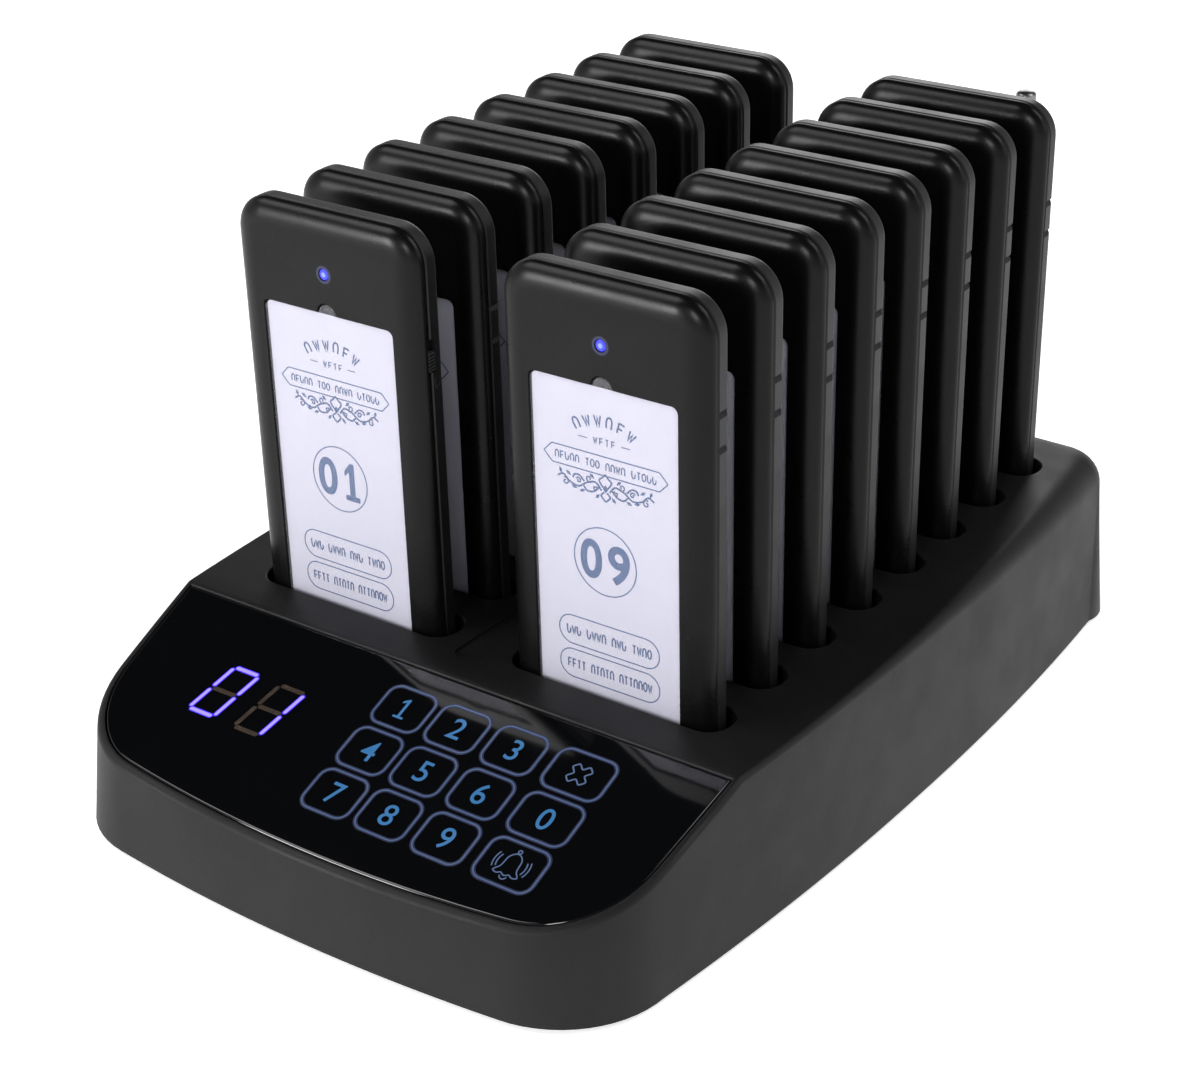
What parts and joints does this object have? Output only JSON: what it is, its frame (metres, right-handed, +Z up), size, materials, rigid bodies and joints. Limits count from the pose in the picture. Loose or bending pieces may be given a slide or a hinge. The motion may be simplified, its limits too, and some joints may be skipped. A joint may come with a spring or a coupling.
{
  "type": "guest pager set",
  "caption": "Charging transmitter base with a sloping touch keypad and display, holding two columns of slim upright guest pagers, with a short telescopic antenna",
  "frame": {"origin": "centre of the footprint, on the supporting surface", "axes": "+Z up, +X to the right seen from the keypad side, +Y from the keypad at the front towards the rear wall, along the length of the base"},
  "size_m": [0.158, 0.2394, 0.1385],
  "materials": {
    "charcoal_plastic": "fine satin texture",
    "cover_plastic": "fine texture",
    "foot_rubber": "matt",
    "bright_steel": "plain",
    "touch_glass": "high gloss black",
    "display_plastic": "gloss",
    "circuit_board": "solder mask",
    "jack_plastic": "satin",
    "rocker_plastic": "semi-gloss",
    "chrome_plate": "polished",
    "black_plastic": "satin",
    "number_card": "printed card",
    "clear_plastic": "clear",
    "light_pipe": "clear blue",
    "battery_wrap": "foil wrap",
    "switch_plastic": "satin"
  },
  "bodies": {
    "base": {"top_housing": "charcoal_plastic", "bottom_cover": "cover_plastic", "touch_panel": "touch_glass", "display_module": "display_plastic", "touch_board": "circuit_board", "main_board": "circuit_board", "charge_board": "circuit_board", "dc_jack": "jack_plastic", "rubber_foot_1": "foot_rubber", "rubber_foot_2": "foot_rubber", "rubber_foot_3": "foot_rubber", "rubber_foot_4": "foot_rubber", "housing_screw_1": "bright_steel", "housing_screw_2": "bright_steel", "housing_screw_3": "bright_steel", "housing_screw_4": "bright_steel"},
    "power_rocker": {"power_switch": "rocker_plastic"},
    "antenna_swivel": {"antenna_knuckle": "chrome_plate"},
    "antenna_outer": {"antenna_outer_tube": "chrome_plate"},
    "antenna_middle": {"antenna_middle_tube": "chrome_plate"},
    "antenna_end": {"antenna_tip": "chrome_plate"},
    "pager_01": {"pager_01_front_shell": "black_plastic", "pager_01_rear_shell": "black_plastic", "pager_01_label_card": "number_card", "pager_01_clear_window": "clear_plastic", "pager_01_light_pipe": "light_pipe", "pager_01_board": "circuit_board", "pager_01_battery": "battery_wrap", "pager_01_vibration_motor": "bright_steel"},
    "pager_02": {"pager_02_front_shell": "black_plastic", "pager_02_rear_shell": "black_plastic"},
    "pager_03": {"pager_03_front_shell": "black_plastic", "pager_03_rear_shell": "black_plastic"},
    "pager_04": {"pager_04_front_shell": "black_plastic", "pager_04_rear_shell": "black_plastic"},
    "pager_05": {"pager_05_front_shell": "black_plastic", "pager_05_rear_shell": "black_plastic"},
    "pager_06": {"pager_06_front_shell": "black_plastic", "pager_06_rear_shell": "black_plastic"},
    "pager_07": {"pager_07_front_shell": "black_plastic", "pager_07_rear_shell": "black_plastic"},
    "pager_08": {"pager_08_front_shell": "black_plastic", "pager_08_rear_shell": "black_plastic"},
    "pager_09": {"pager_09_front_shell": "black_plastic", "pager_09_rear_shell": "black_plastic"},
    "pager_10": {"pager_10_front_shell": "black_plastic", "pager_10_rear_shell": "black_plastic"},
    "pager_11": {"pager_11_front_shell": "black_plastic", "pager_11_rear_shell": "black_plastic"},
    "pager_12": {"pager_12_front_shell": "black_plastic", "pager_12_rear_shell": "black_plastic"},
    "pager_13": {"pager_13_front_shell": "black_plastic", "pager_13_rear_shell": "black_plastic"},
    "pager_14": {"pager_14_front_shell": "black_plastic", "pager_14_rear_shell": "black_plastic"},
    "pager_15": {"pager_15_front_shell": "black_plastic", "pager_15_rear_shell": "black_plastic"},
    "pager_16": {"pager_16_front_shell": "black_plastic", "pager_16_rear_shell": "black_plastic"},
    "pager_01_switch": {"pager_01_side_switch": "switch_plastic"}
  },
  "joints": [
    {"name": "pager_01_lift", "type": "slide", "parent": "base", "child": "pager_01", "axis": [0, -0.0365, 0.9993], "range_m": [0, 0.12]},
    {"name": "pager_02_lift", "type": "slide", "parent": "base", "child": "pager_02", "axis": [0, -0.0365, 0.9993], "range_m": [0, 0.12]},
    {"name": "pager_03_lift", "type": "slide", "parent": "base", "child": "pager_03", "axis": [0, -0.0365, 0.9993], "range_m": [0, 0.12]},
    {"name": "pager_04_lift", "type": "slide", "parent": "base", "child": "pager_04", "axis": [0, -0.0365, 0.9993], "range_m": [0, 0.12]},
    {"name": "pager_05_lift", "type": "slide", "parent": "base", "child": "pager_05", "axis": [0, -0.0365, 0.9993], "range_m": [0, 0.12]},
    {"name": "pager_06_lift", "type": "slide", "parent": "base", "child": "pager_06", "axis": [0, -0.0365, 0.9993], "range_m": [0, 0.12]},
    {"name": "pager_07_lift", "type": "slide", "parent": "base", "child": "pager_07", "axis": [0, -0.0365, 0.9993], "range_m": [0, 0.12]},
    {"name": "pager_08_lift", "type": "slide", "parent": "base", "child": "pager_08", "axis": [0, -0.0365, 0.9993], "range_m": [0, 0.12]},
    {"name": "pager_09_lift", "type": "slide", "parent": "base", "child": "pager_09", "axis": [0, -0.0365, 0.9993], "range_m": [0, 0.12]},
    {"name": "pager_10_lift", "type": "slide", "parent": "base", "child": "pager_10", "axis": [0, -0.0365, 0.9993], "range_m": [0, 0.12]},
    {"name": "pager_11_lift", "type": "slide", "parent": "base", "child": "pager_11", "axis": [0, -0.0365, 0.9993], "range_m": [0, 0.12]},
    {"name": "pager_12_lift", "type": "slide", "parent": "base", "child": "pager_12", "axis": [0, -0.0365, 0.9993], "range_m": [0, 0.12]},
    {"name": "pager_13_lift", "type": "slide", "parent": "base", "child": "pager_13", "axis": [0, -0.0365, 0.9993], "range_m": [0, 0.12]},
    {"name": "pager_14_lift", "type": "slide", "parent": "base", "child": "pager_14", "axis": [0, -0.0365, 0.9993], "range_m": [0, 0.12]},
    {"name": "pager_15_lift", "type": "slide", "parent": "base", "child": "pager_15", "axis": [0, -0.0365, 0.9993], "range_m": [0, 0.12]},
    {"name": "pager_16_lift", "type": "slide", "parent": "base", "child": "pager_16", "axis": [0, -0.0365, 0.9993], "range_m": [0, 0.12]},
    {"name": "pager_01_switch_slide", "type": "slide", "parent": "pager_01", "child": "pager_01_switch", "axis": [0, -0.0365, 0.9993], "range_m": [0, 0.0025]},
    {"name": "power_rock", "type": "hinge", "parent": "base", "child": "power_rocker", "pos_m": [-0.01, 0.11344, 0.01847], "axis": [1, 0, 0], "range_deg": [0, 16]},
    {"name": "antenna_turn", "type": "hinge", "parent": "base", "child": "antenna_swivel", "pos_m": [0.0462, 0.1012, 0.04597], "axis": [0, 0, 1], "range_deg": [-90, 90]},
    {"name": "antenna_tilt", "type": "hinge", "parent": "antenna_swivel", "child": "antenna_outer", "pos_m": [0.0462, 0.1012, 0.05247], "axis": [-1, 0, 0], "range_deg": [0, 90]},
    {"name": "antenna_middle_slide", "type": "slide", "parent": "antenna_outer", "child": "antenna_middle", "axis": [0, 0, 1], "range_m": [0, 0.06]},
    {"name": "antenna_end_slide", "type": "slide", "parent": "antenna_middle", "child": "antenna_end", "axis": [0, 0, 1], "range_m": [0, 0.058]}
  ]
}
